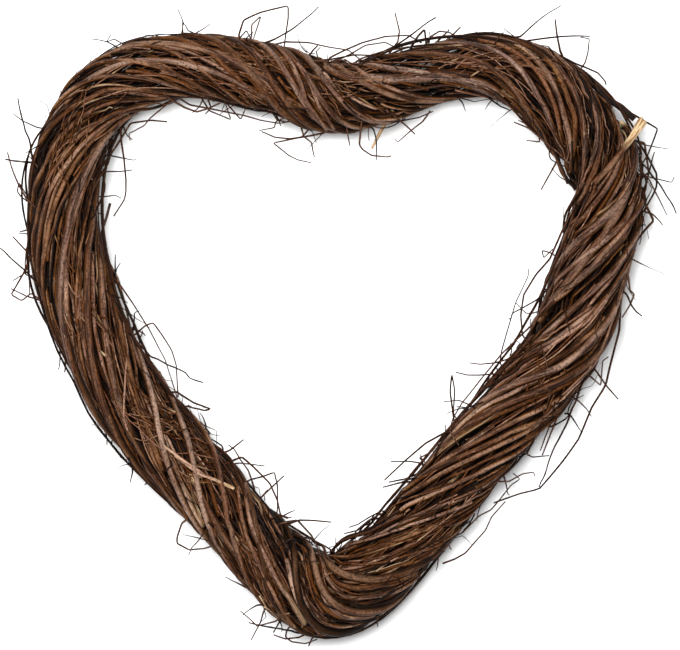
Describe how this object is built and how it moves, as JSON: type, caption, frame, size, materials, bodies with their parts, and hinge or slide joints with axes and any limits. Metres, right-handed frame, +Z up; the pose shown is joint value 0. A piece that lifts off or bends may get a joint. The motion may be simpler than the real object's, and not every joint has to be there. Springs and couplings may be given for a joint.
{
  "type": "rattan wreath",
  "caption": "Heart-shaped wreath of dark unpeeled rattan canes wound round a bundle of thin twigs, with loose twig ends all round.",
  "frame": {"origin": "at floor level under the middle of the whole wreath, loose twigs included", "axes": "+X to the right across the lobes, +Y from the tip to the cleft, +Z up out of the side that shows"},
  "size_m": [0.4368, 0.4092, 0.0659],
  "materials": {
    "inner_twigs": "dark rough twig bark, red-brown, with black gaps",
    "cane_bark": "dull grey-brown rattan bark with fine lengthwise streaks and a slight sheen",
    "slim_bark": "red-brown bark of slim canes, fine lengthwise streaks, satin",
    "loose_twigs": "dry dark twig bark, matt"
  },
  "bodies": {
    "root": {"broken_cane": "cane_bark", "cleft_left_cane_1": "cane_bark", "cleft_left_cane_2": "cane_bark", "cleft_stub": "cane_bark", "cleft_wrap_1": "cane_bark", "cleft_wrap_2": "cane_bark", "cleft_wrap_3": "cane_bark", "inner_twigs": "inner_twigs", "left_lobe_cane_1": "slim_bark", "left_lobe_cane_2": "slim_bark", "left_lobe_cane_3": "slim_bark", "left_lobe_cane_4": "slim_bark", "left_lobe_cane_5": "slim_bark", "left_lobe_long_cane_1": "cane_bark", "left_lobe_long_cane_2": "cane_bark", "left_side_cane_1": "slim_bark", "left_side_cane_2": "slim_bark", "left_side_cane_3": "slim_bark", "left_side_inner_cane": "cane_bark", "left_side_middle_cane": "cane_bark", "left_side_outer_cane": "cane_bark", "loose_twig_cleft": "loose_twigs", "loose_twig_inner_left": "loose_twigs", "loose_twig_inner_right": "loose_twigs", "loose_twig_left": "loose_twigs", "loose_twig_lobe": "loose_twigs", "loose_twig_lower_right": "loose_twigs", "loose_twig_right": "loose_twigs", "loose_twig_shoulder": "loose_twigs", "loose_twig_tip": "loose_twigs", "loose_twig_top": "loose_twigs", "lower_right_cane_1": "slim_bark", "lower_right_cane_2": "slim_bark", "lower_right_cane_3": "slim_bark", "lower_right_cane_4": "slim_bark", "lower_right_cane_5": "slim_bark", "right_lobe_cane_1": "cane_bark", "right_lobe_cane_2": "cane_bark", "right_lobe_cane_3": "cane_bark", "right_lobe_cane_4": "cane_bark", "right_lobe_inner_cane_1": "cane_bark", "right_lobe_inner_cane_2": "cane_bark", "right_shoulder_cane_1": "cane_bark", "right_shoulder_cane_2": "cane_bark", "right_side_cane_1": "cane_bark", "right_side_cane_2": "cane_bark", "right_side_cane_3": "cane_bark", "right_side_cane_4": "cane_bark", "right_side_thick_cane_1": "cane_bark", "right_side_thick_cane_2": "cane_bark", "tip_cane_1": "cane_bark", "tip_cane_2": "cane_bark", "tip_left_cane_1": "cane_bark", "tip_left_cane_2": "cane_bark", "tip_left_cane_3": "cane_bark", "tip_right_cane_1": "cane_bark", "tip_right_cane_2": "cane_bark", "tip_stub": "cane_bark", "wide_cane": "cane_bark"}
  },
  "joints": []
}
